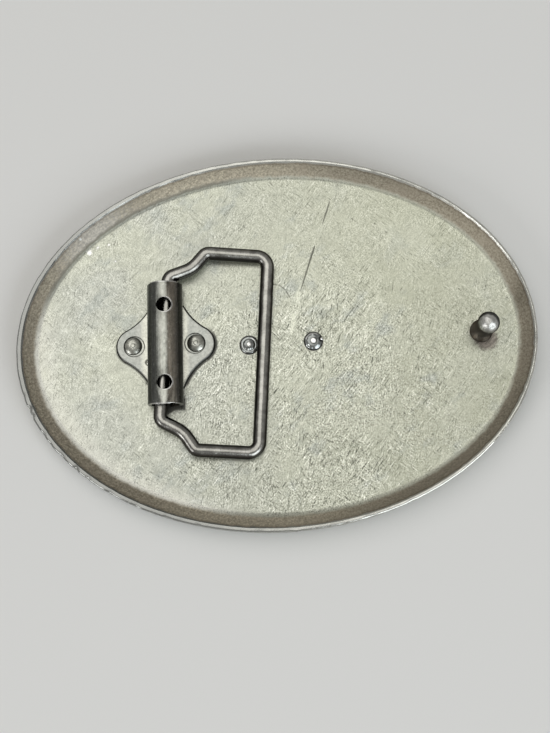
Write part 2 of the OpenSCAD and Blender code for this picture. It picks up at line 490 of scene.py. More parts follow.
def new_metal(name, metallic, edge):
    """A new material with its shader and its object coordinates. Edge is how much of the light the
    metal returns where it is seen edge on."""
    metal = bpy.data.materials.new(name)
    metal.use_nodes = True
    shader = metal.node_tree.nodes["Principled BSDF"]
    shader.inputs["Metallic"].default_value = metallic
    shader.inputs["Specular Tint"].default_value = (edge, edge, edge, 1)
    where = metal.node_tree.nodes.new("ShaderNodeTexCoord").outputs["Object"]
    return metal, shader, Value(where)


def finish_metal(shader, colour, rough, height, depth_mm):
    """Feeds the colour, the roughness and the height of its surface into the shader."""
    plug(shader.inputs["Base Color"], colour)
    plug(shader.inputs["Roughness"], rough)
    inputs = {"Strength": 1.0, "Distance": depth_mm * mm, "Height": height}
    plug(shader.inputs["Normal"], next_node("ShaderNodeBump", inputs))


# Marks that tumbling leaves: short fine strokes in three directions that come and go in patches.
# Light is a mask of the bright ones, and Height goes up in these and down in the dark ones.
tumbled, given, made = new_group("tumbled_marks", ["Vector"], ["Amount"], ["Light", "Height"])
light_marks = dark_marks = 0.0
stroke_mm = 0.18
for degrees, long_mm, patch_shift in ((50, 2.0, 0), (-44, 1.2, 31), (78, 1.4, 67)):
    strokes = turned(given["Vector"], degrees, (long_mm / stroke_mm, 1, 1), (patch_shift, 0, 0))
    field = mottle(strokes, stroke_mm, 1, 0.5)
    drift = turned(given["Vector"], 0, (1, 1, 1), (patch_shift, 9, 0))
    patch = ramp(mottle(drift, 6), 0.36, 0.62)
    light_marks = larger(light_marks, ramp(field, 0.55, 0.8) * patch)
    dark_marks = larger(dark_marks, ramp(field, 0.42, 0.18) * patch)
light_marks = light_marks * given["Amount"]
plug(made["Light"], light_marks)
plug(made["Height"], light_marks * 0.6 - dark_marks * given["Amount"])

# One scratch from a start to an end, seen from above, which thins out towards both ends
scratch, given, made = new_group("scratch", ["Vector", "Start", "End"], ["Width"], ["Mask"])
from_start = vector_sum("SUBTRACT", flat(given["Vector"]), given["Start"])
whole = vector_sum("SUBTRACT", given["End"], given["Start"])
along = vector_sum("DOT_PRODUCT", from_start, whole) / vector_sum("DOT_PRODUCT", whole, whole)
along = smaller(larger(along, 0.0), 1.0)
away = distance(from_start, scaled(whole, along))
taper = (along * (1.0 - along)) ** 0.6
half_width = larger(taper * 1.15 * given["Width"], same_place)
plug(made["Mask"], ramp(away / half_width, 1.0, 0.35))

# The shell's metal
floor_left = (0.455, 0.469, 0.415)
floor_right = (0.437, 0.45, 0.357)
floor_cloud = (0.49, 0.504, 0.415)
floor_blotch = (0.33, 0.357, 0.335)
pit_grey = (0.12, 0.125, 0.11)
smear_white = (0.9, 0.92, 0.78)
scratch_black = (0.06, 0.06, 0.05)
peg_shadow_dark = (0.13, 0.115, 0.1)
peg_shadow_brown = (0.27, 0.235, 0.21)
pin_ring_shade = (0.07, 0.07, 0.065)
patina_dark = (0.27, 0.237, 0.185)
patina_pale = (0.53, 0.485, 0.39)
patina_cloud = (0.42, 0.37, 0.3)
sheen_grey = (0.66, 0.64, 0.61)
crease_brown = (0.16, 0.13, 0.1)
fillet_left = (0.47, 0.455, 0.39)
fillet_right_sheen = (0.7, 0.7, 0.6)
fillet_back_shade = (0.2, 0.185, 0.15)
polish_white = (0.98, 0.965, 0.87)
lip_grey = (0.34, 0.345, 0.33)
lip_bright = (0.7, 0.7, 0.65)
cast_share = 0.85
bare_metal_and_highlight = (0.95, 0.95, 0.93)
shell_metal, shell_shader, where = new_metal("tumbled_zinc", cast_share, 0.8)
shell_where = where
radius = vector_sum("LENGTH", in_plan(where.x, where.y * (half_len / half_wid)))
wobble = (mottle(where, 1.3, 2) - 0.5) * (0.5 * mm)
height = where.z + wobble
inside = ramp(radius, half_len - 0.25 * mm, half_len - 0.55 * mm)
front_left = ramp(where.x + where.y * 0.8, -34 * mm, -50 * mm)
back_right = ramp(where.x + where.y, 25 * mm, 42 * mm)
wall_height = height + front_left * (0.15 * mm) + back_right * (0.25 * mm)
on_wall = ramp(wall_height, floor_z + 0.28 * mm, floor_z + 0.9 * mm) * inside
on_fillet = ramp(where.z + wobble * 0.4, floor_z + 0.03 * mm, floor_z + 0.34 * mm) * inside
on_lip = ramp(height, lip_z - 0.42 * mm, lip_z - 0.2 * mm)
on_back = ramp(where.z, floor_z - 0.6 * mm, floor_z - 0.3 * mm) * inside

# The floor: pale, greener to the right, with soft grey blotches. Its marks are deepest right of the loop.
flat_place = flat(where)
harsh = ramp(distance(flat_place, (5 * mm, -14 * mm, 0)), 37 * mm, 18 * mm, 0.55, 1.0)
marks = use_group(tumbled, Vector=where, Amount=harsh)
fine = mottle(turned(where, 54, (1.6, 1, 1)), 0.22, 2, 0.6)
clouds = mottle(where, 14, 3, 0.5)
blotches = mottle(turned(where, 30, (1.5, 1, 1), (40, 12, 0)), 5, 3, 0.6)
left_to_right = ramp(where.x, -45 * mm, 35 * mm)
pale = blend(left_to_right, floor_left, floor_right)
pale = blend(ramp(clouds, 0.4, 0.66, 0.0, 0.7), pale, floor_cloud)
blotchy = ramp(blotches, 0.52, 0.72) * (0.6 - back_right * 0.4)
pale = blend(blotchy, pale, floor_blotch)
patchy = mottle(turned(where, 0, (1, 1, 1), (13, 70, 0)), 5, 2)
grain = (fine - 0.5) * 3.1 * harsh * ramp(patchy, 0.38, 0.58, 0.55, 1.1)
tone = grain + marks["Height"] * 1.2
shadow_tone = smaller(tone, 0.0) + 1.045
light_tone = larger(tone, 0.0) * 0.5
pale = scaled(pale, shadow_tone)
# Painted shade: the floor is darkened towards the front right
pale = scaled(pale, ramp(where.x * 0.5 - where.y, -10 * mm, 32 * mm, 1.0, 0.89))
pale = vector_sum("ADD", pale, scaled((1.0, 1.0, 0.97), light_tone))
freckles = mottle(turned(where, 20, (1.3, 1, 1), (7, 3, 0)), 1.5, 2, 0.6)
freckles = (freckles - 0.5) * ramp(where.x, -30 * mm, 0.0, 0.5, 0.25)
pale = scaled(pale, freckles + 1.0)
pits = ramp(mottle(turned(where, 20, (1.5, 1, 1), (5, 5, 0)), 0.5, 1), 0.3, 0.23, 0.0, 0.75)
pale = blend(pits * harsh, pale, pit_grey)

# Each long mark that the floor carries: start, end and width in millimetres, and its strength
dark_scratches = [
    ((13.47, 30.92), (11.42, 25.6), 0.5, 0.7),
    ((9.4, 20.9), (5.66, 10.94), 0.46, 0.75),
    ((9.4, 20.9), (7.4, 15.6), 0.58, 0.8),
    ((9.45, 21.0), (8.6, 18.6), 0.6, 0.72),
    ((-0.4, 12.98), (1.6, 12.6), 0.34, 0.55),
    ((1.1, 12.8), (2.75, 11.3), 0.34, 0.55),
    ((2.4, 11.8), (3.4, 9.6), 0.34, 0.55),
    ((-28.2, 31.2), (-27.9, 30.7), 0.5, 0.7),
    ((-26.8, 32.3), (-26.5, 31.6), 0.4, 0.6),
]


def long_mark(start, end, width):
    """The mask of one mark on the floor, from its start, end and width in millimetres."""
    start = (start[0] * mm, start[1] * mm, 0)
    end = (end[0] * mm, end[1] * mm, 0)
    return use_group(scratch, Vector=shell_where, Start=start, End=end, Width=width * mm)["Mask"]


gouged = 0.0
for start, end, width, strength in dark_scratches:
    gouged = larger(gouged, long_mark(start, end, width) * strength)
streaky = ramp(mottle(turned(where, 76, (6, 1, 1)), 0.5), 0.35, 0.6)
smeared = long_mark((5.6, 12.0), (3.0, 1.4), 1.9) * streaky * on_back
gouged = gouged * on_back
pale = blend(smeared * 0.45, pale, smear_white)
pale = blend(gouged, pale, scratch_black)

# Brown painted shadow and reflection of the peg beside its foot, and painted shade along the rims of the pins
peg_shadow = distance(flat_place, (44.75 * mm, -1.8 * mm, 0))
ragged = mottle(turned(where, 40, (2.5, 1, 1)), 0.5, 3, 0.65)
peg_shadow = ramp(uneven(peg_shadow, ragged, 2.4 * mm), 3.0 * mm, 1.7 * mm, 0.0, 0.9) * on_back
peg_shadow_colour = blend(ramp(ragged, 0.35, 0.65), peg_shadow_dark, peg_shadow_brown)
pale = blend(peg_shadow, pale, peg_shadow_colour)
# Painted shade: a dark ring on the floor round each pin's head
for middle in pin_middles:
    off_pin = distance(flat_place, (middle.x, middle.y, 0))
    rim = ramp(off_pin, 2.16 * mm, 2.06 * mm, 0.0, 0.9) * on_back
    pale = blend(rim, pale, pin_ring_shade)

# The wall's brown patina with a painted highlight at its back left, and its knocks: place and radius in
# millimetres
wall_dings = (
    (-41.6, 26.15, 0.5), (-40.9, 24.9, 0.35), (-39.3, 22.4, 0.8), (-37.45, 23.4, 0.38), (-35.1, 23.9, 0.32),
    (-33.8, 20.1, 0.28),
)
patina_grain = mottle(where, 0.42, 4, 0.7)
patina = blend(ramp(patina_grain, 0.3, 0.7), patina_dark, patina_pale)
patina = blend(ramp(mottle(where, 5, 3), 0.45, 0.7, 0.0, 0.5), patina, patina_cloud)
# Painted highlight on the wall at the back left
off_sheen = uneven(distance(flat_place, (-38.5 * mm, 26.5 * mm, 0)), patina_grain, 24 * mm)
patina = blend(ramp(off_sheen, 13 * mm, 2 * mm, 0.0, 0.45), patina, sheen_grey)
dings = 0.0
for ding_x, ding_y, ding_r in wall_dings:
    off_ding = uneven(distance(flat_place, (ding_x * mm, ding_y * mm, 0)), patina_grain, 0.9 * mm)
    dings = larger(dings, ramp(off_ding, ding_r * mm, 0.4 * ding_r * mm))
dings = dings * on_back
crease = ramp(height, lip_z - 0.75 * mm, lip_z - 0.45 * mm)
patina = blend(crease * 0.45, patina, crease_brown)
# The fillet is painted paler at the right, a painted sheen, and dark at the back left, a painted shade
fillet_colour = scaled(blend(left_to_right, fillet_left, fillet_right_sheen), shadow_tone)
back_left = ramp(where.y * 1.2 - where.x, 42 * mm, 56 * mm)
fillet_colour = blend(back_left * 0.85, fillet_colour, fillet_back_shade)
colour = blend(on_fillet * (back_left * 0.3 + 0.6), pale, fillet_colour)

# White polish was left in the corner at the front left, and thins out over the floor
near_corner = ramp(radius, half_len - 10 * mm, half_len - 5.2 * mm, 0.0, 0.35)
wall_foot = ramp(where.z, floor_z + 0.005 * mm, floor_z + 0.07 * mm, 0.0, 0.9)
polish_patches = ramp(blotches, 0.3, 0.6, 0.75, 1.0)
polish = larger(near_corner, wall_foot) * front_left * polish_patches * on_back
colour = blend(polish, colour, scaled(polish_white, shadow_tone))

# Painted light on the wall: it is darker at the front right, and palest in the middle of its back and its
# front side, where the light falls along it
patina = scaled(patina, ramp(where.x * 0.8 - where.y, 47 * mm, 56 * mm, 1.0, 0.78))
wall_scuffs = ramp(mottle(turned(where, 35, (1.6, 1, 1)), 0.42, 3, 0.65), 0.32, 0.68, -0.14, 0.34)
patina = scaled(patina, wall_scuffs * (1.0 - left_to_right) + 1.0)
off_side = distance(in_plan(where.x, abs(where.y)), (-8 * mm, 38 * mm, 0))
patina = scaled(patina, ramp(off_side, 27 * mm, 8 * mm, 1.0, 1.28))
colour = blend(on_wall, colour, patina)
colour = blend(dings * 0.85, colour, bare_metal_and_highlight)
# Painted highlight: the lip is brighter towards the right
lip_sheen = ramp(where.x + where.y * 0.35, -45 * mm, 25 * mm) * ramp(mottle(where, 4, 3), 0.3, 0.6, 0.6, 1.0)
lip_colour = blend(lip_sheen, lip_grey, lip_bright)
shell_colour = blend(on_lip, colour, lip_colour)
# The polish, and the fillet where it was rubbed at the back right, shine less like metal
polish = larger(polish, on_fillet * back_right * 0.3) * (1.0 - on_wall)
plug(shell_shader.inputs["Metallic"], cast_share - polish * cast_share)
rough = ramp(marks["Light"], 0.0, 1.0, 0.29, 0.25) + larger(on_wall, on_fillet) * 0.3 - on_lip * 0.33
relief = marks["Height"] + fine * 1.2 - gouged * 2.0 - dings * 2.0
finish_metal(shell_shader, shell_colour, rough, relief, 0.01)
shell.data.materials.append(shell_metal)
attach(shell, "buckle")
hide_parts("shell")


# Hinge plate
# Nickelled steel sheet: a strip with a round ear on each side, and a tube curled from the same sheet
# on top of it, open underneath. Two round holes in the tube show the wire. It is riveted to the floor.
plate_at = Vector((-23.45 * mm, 0.6 * mm, floor_z))
plate_turn = math.radians(-2.2)
plate_place = Matrix.Translation(plate_at) @ Matrix.Rotation(plate_turn, 4, "Z")
sheet_t = 0.75 * mm
plate_gap = 0.05 * mm
plate_top = plate_gap + sheet_t
tube_r = 3.625 * mm
tube_len = 25.9 * mm
tube_axis = plate_gap + tube_r
tube_round = 0.11 * mm
tube_shift = -0.2 * mm
tube_widening = 1.03
seam_half = math.radians(11.2)
tube_holes_y = (-8.45 * mm, 7.95 * mm)
tube_hole_r = 1.525 * mm


def set_down(piece, matrix):
    """Moves a piece from the frame it was made in to its place on the buckle."""
    take(piece)
    piece.matrix_world = matrix
    bpy.ops.object.transform_apply()


def soften(piece, width, segments, degrees=None):
    """Rounds all edges that turn more than this, or else each edge by its own bevel weight."""
    bpy.context.view_layer.objects.active = piece
    rounding = piece.modifiers.new("soften", "BEVEL")
    rounding.width = width
    rounding.segments = segments
    rounding.limit_method = "WEIGHT"
    if degrees:
        rounding.limit_method = "ANGLE"
        rounding.angle_limit = math.radians(degrees)
    rounding.use_clamp_overlap = False
    rounding.miter_outer = "MITER_ARC"
    bpy.ops.object.modifier_apply(modifier=rounding.name)


barrel = start_piece(
    "hinge_tube", bpy.ops.mesh.primitive_cylinder_add, vertices=128, radius=tube_r, depth=tube_len,
    end_fill_type="NOTHING", location=(0, 0, tube_axis), rotation=(math.pi / 2, 0, 0),
)
bpy.ops.mesh.normals_make_consistent(inside=False)
seam_z = tube_axis - tube_r * math.cos(seam_half)
pick_faces(barrel, lambda middle, normal: middle.z < seam_z)
bpy.ops.mesh.delete(type="FACE")

# The sheared ends of the tube: place round it from the top, push along it and how far that spreads
ragged_ends = [
    (-1, -62, -0.1, 1.4), (-1, -18, 0.16, 1.8), (-1, 8, 0.12, 1.2), (-1, 30, -0.12, 1.2), (-1, 60, -0.1, 1.5),
    (1, -70, -0.3, 2.2), (1, -20, 0.06, 1.6), (1, 25, 0.08, 1.6), (1, 70, -0.12, 1.8),
]
for side, turn, push, reach in ragged_ends:
    rim = Vector((
        tube_r * math.sin(math.radians(turn)), side * tube_len / 2,
        tube_axis + tube_r * math.cos(math.radians(turn)),
    ))
    push_near(barrel, rim, (0, side * push * mm, 0), reach * mm)
bpy.ops.object.mode_set(mode="OBJECT")
curl = barrel.modifiers.new("sheet", "SOLIDIFY")
curl.thickness = sheet_t
curl.offset = -1
curl.use_even_offset = True
bpy.ops.object.modifier_apply(modifier=curl.name)
for hole_y in tube_holes_y:
    drill(barrel, 0, hole_y, tube_axis, tube_axis + 2 * tube_r, tube_hole_r)
soften(barrel, tube_round, 2, 50)

# The strip wasn't curled quite round, so the tube is a little wide at its left
wide_tube = Matrix.Translation((tube_shift, 0, 0)) @ Matrix.Diagonal((tube_widening, 1, 1, 1))
set_down(barrel, plate_place @ wide_tube)
shade(barrel, 40)

# The two ears with their strip
ear_r = 3.95 * mm
flank_r = 12 * mm
ear_root = 8.9 * mm
ear_lap = 0.05 * mm
ear_ends = (Vector((-7.0 * mm, 0.15 * mm)), Vector((6.3 * mm, 0.6 * mm)))
hip_turn = math.radians(58)
root_turn = math.radians(110)
strip_half = 1.0 * mm
dimple_r = 2.2 * mm
dimple_depth = 0.25 * mm
dimple_shifts = (-0.05 * mm, -0.4 * mm)
top_round = 0.5 * mm
fine_round = 0.1 * mm
shank_r = 1.2 * mm
weld_at = Vector((-3.95 * mm, -3.3 * mm, plate_top))
weld_r = 0.75 * mm
# Cutters reach from well below a piece to well above it
cut_low = -1 * mm
cut_high = 2 * mm


def disc(name, middle, radius, bottom, top, vertices=128):
    """An upright round slug."""
    return start_piece(
        name, bpy.ops.mesh.primitive_cylinder_add, vertices=vertices, radius=radius, depth=top - bottom,
        location=(middle.x, middle.y, (bottom + top) / 2),
    )


def flank_middle(ear_end, side):
    """Middle of the circle that touches the ear's round end and passes through its root."""
    root = Vector((math.copysign(tube_r, ear_end.x), side * ear_root))
    span = (root - ear_end).length
    unit = (root - ear_end) / span
    far = ear_r + flank_r
    along = (far * far - flank_r * flank_r + span * span) / (2 * span)
    aside = math.sqrt(far * far - along * along)
    return ear_end + along * unit + math.copysign(aside, side * ear_end.x) * Vector((unit.y, -unit.x))


def ear_blank(name, ear_end):
    """A round blank whose inner part is drawn out to the strip's corners, cut out to its waist."""
    outward = math.copysign(1, ear_end.x)
    blank = start_plate(name, 160, ear_r, location=(ear_end.x, ear_end.y, plate_gap))
    arms = [point.co.xy - ear_end for point in bmesh.from_edit_mesh(blank.data).verts]
    turns = [math.atan2(abs(arm.y), outward * arm.x) for arm in arms]
    corners = [(tube_r, hip_turn, root_turn), (strip_half, root_turn, math.pi)]
    for side, (corner_x, first, last) in itertools.product((-1, 1), corners):
        bpy.ops.mesh.select_mode(type="VERT")
        bpy.ops.mesh.select_all(action="DESELECT")
        mesh = bmesh.from_edit_mesh(blank.data)
        for point, arm, turn in zip(mesh.verts, arms, turns):
            point.select_set(first < turn <= last and arm.y * side > -1e-9)
        bmesh.update_edit_mesh(blank.data)
        place = (outward * corner_x, side * (ear_root + ear_lap), plate_gap)
        bpy.ops.transform.resize(value=(0, 0, 1), center_override=place)
    bpy.ops.mesh.select_all(action="SELECT")
    bpy.ops.mesh.remove_doubles(threshold=same_place)
    draw_out(sheet_t)
    close_piece(blank)
    for side in (-1, 1):
        hollow = disc("ear_hollow", flank_middle(ear_end, side), flank_r, cut_low, cut_high, 256)
        cut(blank, hollow)
    return blank


def join_to(piece, part):
    """Joins a part to the piece."""
    take(part)
    piece.select_set(True)
    bpy.context.view_layer.objects.active = piece
    bpy.ops.object.join()


ears = ear_blank("hinge_ears", ear_ends[0])
join_to(ears, ear_blank("other_ear", ear_ends[1]))
bpy.ops.object.mode_set(mode="EDIT")
pick_faces(ears, lambda middle, normal: abs(middle.x) < strip_half * 1.01 and abs(normal.x) > 0.9)
bpy.ops.mesh.bridge_edge_loops()
close_piece(ears)
for ear_end, shift in zip(ear_ends, dimple_shifts):
    ring = disc("ear_dimple", ear_end + Vector((shift, 0)), dimple_r, plate_top - dimple_depth, cut_high)
    cut(ears, ring)
    drill(ears, ear_end.x, ear_end.y, cut_low, cut_high, shank_r + plate_gap)

# The punch rounded the outline's upper edge most
edge_weights = ears.data.attributes.new("bevel_weight_edge", "FLOAT", "EDGE")
measured = bmesh.new()
measured.from_mesh(ears.data)
for edge in measured.edges:
    middle = (edge.verts[0].co + edge.verts[1].co) / 2
    in_ring = any(
        (middle.xy - ear_end - Vector((shift, 0))).length < dimple_r + 0.05 * mm
        for ear_end, shift in zip(ear_ends, dimple_shifts)
    )
    if len(edge.link_faces) == 2 and edge.calc_face_angle() > math.radians(50):
        rounded = middle.z > plate_top - hair and not in_ring
        edge_weights.data[edge.index].value = 1.0 if rounded else fine_round / top_round
measured.free()
soften(ears, top_round, 6)


def from_place(where, turn, place):
    """The coordinates in the frame that a piece was made in."""
    return turned(where, math.degrees(turn), (1, 1, 1), [side / mm for side in place])


def band(value, low, from_here, to_here, high):
    """A mask that is full between two values and fades out to the two outer ones."""
    return ramp(value, low, from_here) * ramp(value, high, to_here)


# A painted shadow lies on the shell's floor along the ears' front edges, which are round at their ends and
# hollow at their flanks. It is painted over the shell's colour.
on_plate = from_place(shell_where, plate_turn, plate_at)
flat_place = flat(on_plate)
# Beside the left ear and the right one: how wide it lies, how dark it is, and how far back it goes
shadow_sizes = ((0.36 * mm, 0.6, 1.5 * mm), (0.62 * mm, 1.0, 5 * mm))
shadow_black = (0.045, 0.045, 0.04)
painted_shadow = 0.0
for ear_end, (shadow_w, shadow_depth, far_side) in zip(ear_ends, shadow_sizes):
    outward = math.copysign(1, ear_end.x)
    hollow = flank_middle(ear_end, -1)
    touch = ear_end + (hollow - ear_end) * ear_r / (ear_r + flank_r)
    out = on_plate.x * outward
    off_flank = distance(flat_place, (hollow.x, hollow.y, 0))
    by_flank = ramp(off_flank, flank_r - shadow_w, flank_r - 0.4 * shadow_w)
    by_flank = by_flank * ramp(off_flank, flank_r + 0.5 * mm, flank_r + 0.2 * mm)
    by_flank = by_flank * ramp(out, outward * touch.x, outward * touch.x - 0.3 * mm)
    by_flank = by_flank * ramp(on_plate.y, -ear_root, -ear_root + 1 * mm)
    off_end = distance(flat_place, (ear_end.x, ear_end.y, 0))
    by_end = ramp(off_end, ear_r + shadow_w, ear_r + 0.4 * shadow_w)
    by_end = by_end * ramp(out, outward * touch.x - 0.3 * mm, outward * touch.x)
    by_end = by_end * ramp(on_plate.y, far_side, far_side - 3 * mm)
    painted_shadow = larger(painted_shadow, larger(by_flank, by_end) * shadow_depth)

# More painted shadow lies under the tube's front end, right of the wire
back = uneven(on_plate.y, mottle(on_plate, 0.8, 3, 0.6), 0.5 * mm)
by_wire = ramp(on_plate.x, 1.5 * mm, -0.2 * mm, 0.0, 0.9 * mm)
shadow_under_end = ramp(back + by_wire, -tube_len / 2 - 0.85 * mm, -tube_len / 2 - 0.45 * mm)
shadow_under_end = shadow_under_end * ramp(on_plate.y, -ear_root - 1.5 * mm, -ear_root - 2.5 * mm)
shadow_under_end = shadow_under_end * band(on_plate.x, -2.0 * mm, -1.4 * mm, 3.4 * mm, 3.9 * mm)
painted_shadow = larger(painted_shadow, shadow_under_end * 0.93)
painted_shadow = painted_shadow * band(on_plate.z, -0.5 * mm, -0.2 * mm, 0.1 * mm, 0.3 * mm) * 0.92
plug(shell_shader.inputs["Base Color"], blend(painted_shadow, shell_colour, shadow_black))

# A drop of weld that shows at the tube's left side
nub = start_piece(
    "weld_drop", bpy.ops.mesh.primitive_uv_sphere_add, segments=32, ring_count=16, radius=weld_r,
    location=weld_at,
)
pick_points(nub, lambda co: co.y > -3.0 * mm)
bpy.ops.transform.resize(value=(0.9, 0.8, 0.85))
close_piece(nub)
join_to(ears, nub)
set_down(ears, plate_place)
shade(ears, 40)

# Fine lines and specks that drawing and handling leave along a piece, each as a mask
drawn, given, made = new_group("drawn_lines", ["Vector"], [], ["Lines", "Specks"])
lines = mottle(turned(given["Vector"], 0, (1, 30, 1)), 0.35, 2, 0.6)
specks = mottle(given["Vector"], 0.5, 3, 0.6)
plug(made["Lines"], ramp(lines, 0.4, 0.7))
plug(made["Specks"], ramp(specks, 0.56, 0.76))

tube_dark = (0.39, 0.4, 0.36)
tube_pale = (0.5, 0.51, 0.465)
tube_speck = (0.7, 0.71, 0.68)
tube_scuff = (0.08, 0.08, 0.075)
tube_rim = (0.8, 0.8, 0.78)
bore_shade_black = (0.03, 0.03, 0.027)
barrel_metal, shader, where = new_metal("dull_nickel", 1.0, 0.9)
on_plate = from_place(where, plate_turn, plate_at)
worn = use_group(drawn, Vector=on_plate)
stains = mottle(on_plate, 3.5, 3, 0.55)
colour = blend(ramp(stains, 0.35, 0.7), tube_dark, tube_pale)

# Painted shade down the tube's sides, with a brown band on its right: where across it each colour starts and
# is full, as shares of its radius
across = uneven(on_plate.x, stains, 0.8 * mm)
side_colour = (0.1, 0.09, 0.075)
side_shades = (
    (0.12, 0.42, (0.28, 0.252, 0.208)), (0.46, 0.75, (0.1, 0.098, 0.09)), (-0.2, -0.3, (0.17, 0.175, 0.16)),
    (-0.4, -0.85, (0.09, 0.095, 0.09)),
)
for thin, full, shade_colour in side_shades:
    side_colour = blend(ramp(across, thin * tube_r, full * tube_r), side_colour, shade_colour)
shaded_sides = larger(ramp(across, -0.04 * tube_r, 0.22 * tube_r), ramp(across, -0.08 * tube_r, -0.45 * tube_r))
colour = blend(shaded_sides * 0.97, colour, side_colour)
scuffs = mottle(turned(on_plate, 0, (1, 1.8, 1)), 0.55, 3, 0.65)
colour = scaled(colour, ramp(scuffs, 0.3, 0.7, 0.82, 1.2))
colour = blend(worn["Specks"] * 0.3, colour, tube_speck)
colour = blend(ramp(scuffs, 0.36, 0.26, 0.0, 0.5), colour, tube_scuff)
rims = 0.0
for hole_y in tube_holes_y:
    off_middle = distance(flat(on_plate), (0, hole_y, 0))
    rims = larger(rims, ramp(off_middle, tube_hole_r + 0.26 * mm, tube_hole_r + 0.1 * mm))
rims = larger(rims, ramp(abs(on_plate.y), tube_len / 2 - 0.3 * mm, tube_len / 2 - 0.1 * mm))
rims = rims * ramp(on_plate.z, tube_axis + 0.2 * mm, tube_axis + 1.0 * mm)
colour = blend(rims * 0.7, colour, tube_rim)
# Painted shade: the inside of the tube is painted nearly black
off_axis = distance(vector_sum("MULTIPLY", on_plate, (1, 0, 1)), (0, 0, tube_axis))
bore_shade = ramp(off_axis, tube_r - 0.5 * sheet_t, tube_r - 0.75 * sheet_t)
colour = blend(bore_shade * 0.9, colour, bore_shade_black)
finish_metal(shader, colour, ramp(worn["Lines"], 0.0, 1.0, 0.26, 0.34), worn["Lines"] + stains, 0.006)
barrel.data.materials.append(barrel_metal)
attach(barrel, "buckle")
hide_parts("hinge_plate")


def line_at(value, place, faint, full):
    """A thin line where the value is at this place, with how far off it is faint and full."""
    return ramp(abs(value - place), faint, full)


ear_dark = (0.36, 0.375, 0.35)
ear_pale = (0.44, 0.45, 0.415)
ear_sheen = (0.68, 0.68, 0.59)
shade_line_black = (0.09, 0.09, 0.082)
shaded_edge_black = (0.05, 0.05, 0.047)
ear_metal, shader, where = new_metal("bright_nickel", 1.0, 0.5)
on_plate = from_place(where, plate_turn, plate_at)
clouds = mottle(on_plate, 3, 3, 0.5)
colour = blend(ramp(clouds, 0.35, 0.7), ear_dark, ear_pale)
# Painted sheen: the ears are paler beside the tube
off_tube = abs(on_plate.x + 0.5 * mm)
colour = blend(ramp(off_tube, 5.5 * mm, 4.3 * mm, 0.0, 0.65), colour, ear_sheen)
scuffs = mottle(on_plate, 0.5, 3, 0.65)
colour = scaled(colour, ramp(scuffs, 0.3, 0.7, 0.84, 1.16))
# Painted shade: the ears' sides and the low part of their rounded edges are dark, and thin dark lines run
# round the pressed rings, inside the front flanks' edges and round the weld
shaded_edge = ramp(on_plate.z, plate_top - 0.02 * mm, plate_top - 0.06 * mm)
shade_lines = 0.0
flat_place = flat(on_plate)
for ear_end, shift in zip(ear_ends, dimple_shifts):
    off_ring = distance(flat_place, (ear_end.x + shift, ear_end.y, 0))
    shaded_edge = shaded_edge * ramp(off_ring, dimple_r, dimple_r + 0.5 * mm)
    shade_lines = larger(shade_lines, line_at(off_ring, dimple_r - 0.05 * mm, 0.2 * mm, 0.05 * mm))
    hollow = flank_middle(ear_end, -1)
    off_flank = distance(flat_place, (hollow.x, hollow.y, 0))
    flank_line = line_at(off_flank, flank_r + top_round, 0.17 * mm, 0.06 * mm) * 0.6
    flank_line = flank_line * ramp(abs(on_plate.x - ear_end.x), 1.5 * mm, 3 * mm)
    shade_lines = larger(shade_lines, flank_line)
off_weld = distance(flat_place, (weld_at.x, weld_at.y, 0))
shade_lines = larger(shade_lines, line_at(off_weld, 0.74 * mm, 0.22 * mm, 0.08 * mm))
patchy = ramp(mottle(on_plate, 1.4, 2), 0.35, 0.6, 0.45, 0.85)
colour = blend(shade_lines * patchy, colour, shade_line_black)
colour = blend(shaded_edge * 0.95, colour, shaded_edge_black)
fine = mottle(on_plate, 0.45, 3, 0.6)
finish_metal(shader, colour, ramp(clouds, 0.3, 0.7, 0.24, 0.32), fine, 0.012)
ears.data.materials.append(ear_metal)
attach(ears, "buckle")
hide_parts("hinge_plate")


# Ear rivets
# A steel rivet through each ear, set with a domed tool, so its head is round with a small bright
# middle and stands in a pressed ring.
dome_r = 1.9 * mm
dome_h = 0.66 * mm
dome_rim = 0.05 * mm
dome_edge = 0.05 * mm
nipple_r = 0.36 * mm
nipple_h = 0.07 * mm
nipple_slope = 0.06 * mm
dome_base = plate_top - dimple_depth + plate_gap
shank_foot = plate_gap - 1.5 * mm
head_shifts = ((-0.27 * mm, 0.15 * mm, 0), (-0.2 * mm, 0.05 * mm, 0))


def dome_rows(rim_r, rim_h, top_h, spot_r, steps=10):
    """Insets and heights of a low round head up to the flat spot on its top."""
    rise = top_h - rim_h
    ball = (rim_r ** 2 + rise ** 2) / (2 * rise)
    rows = [(0.0, 0.0), (0.02 * mm, rim_h)]
    for step in range(1, steps + 1):
        radius = rim_r + (spot_r - rim_r) * step / steps
        rows.append((rim_r - radius, top_h - ball + math.sqrt(ball ** 2 - radius ** 2)))
    return rows


def start_head(name, radius, foot, edge, rows, shank_len):
    """A round head with its edge, raised by rows of [inset, height], on its shank, left open for editing."""
    head = start_plate(name, 64, radius, location=(0, 0, foot))
    draw_out(edge)
    face_out()
    pick_faces(head, lambda middle, normal: normal.z > 0.9)
    step_in(rows)
    pick_faces(head, lambda middle, normal: normal.z < -0.9)
    bpy.ops.mesh.inset(thickness=radius - shank_r)
    draw_out(-shank_len)
    return head


rivet_rows = dome_rows(dome_r, dome_rim, dome_h, nipple_r + nipple_slope)
rivet_rows += [(dome_r - nipple_r, dome_h + nipple_h), (dome_r - 0.5 * nipple_r, dome_h + 1.2 * nipple_h)]
rivet = start_head("ear_rivet_left_head", dome_r, dome_base, dome_edge, rivet_rows, dome_base - shank_foot)
close_piece(rivet)
shade(rivet, 50)

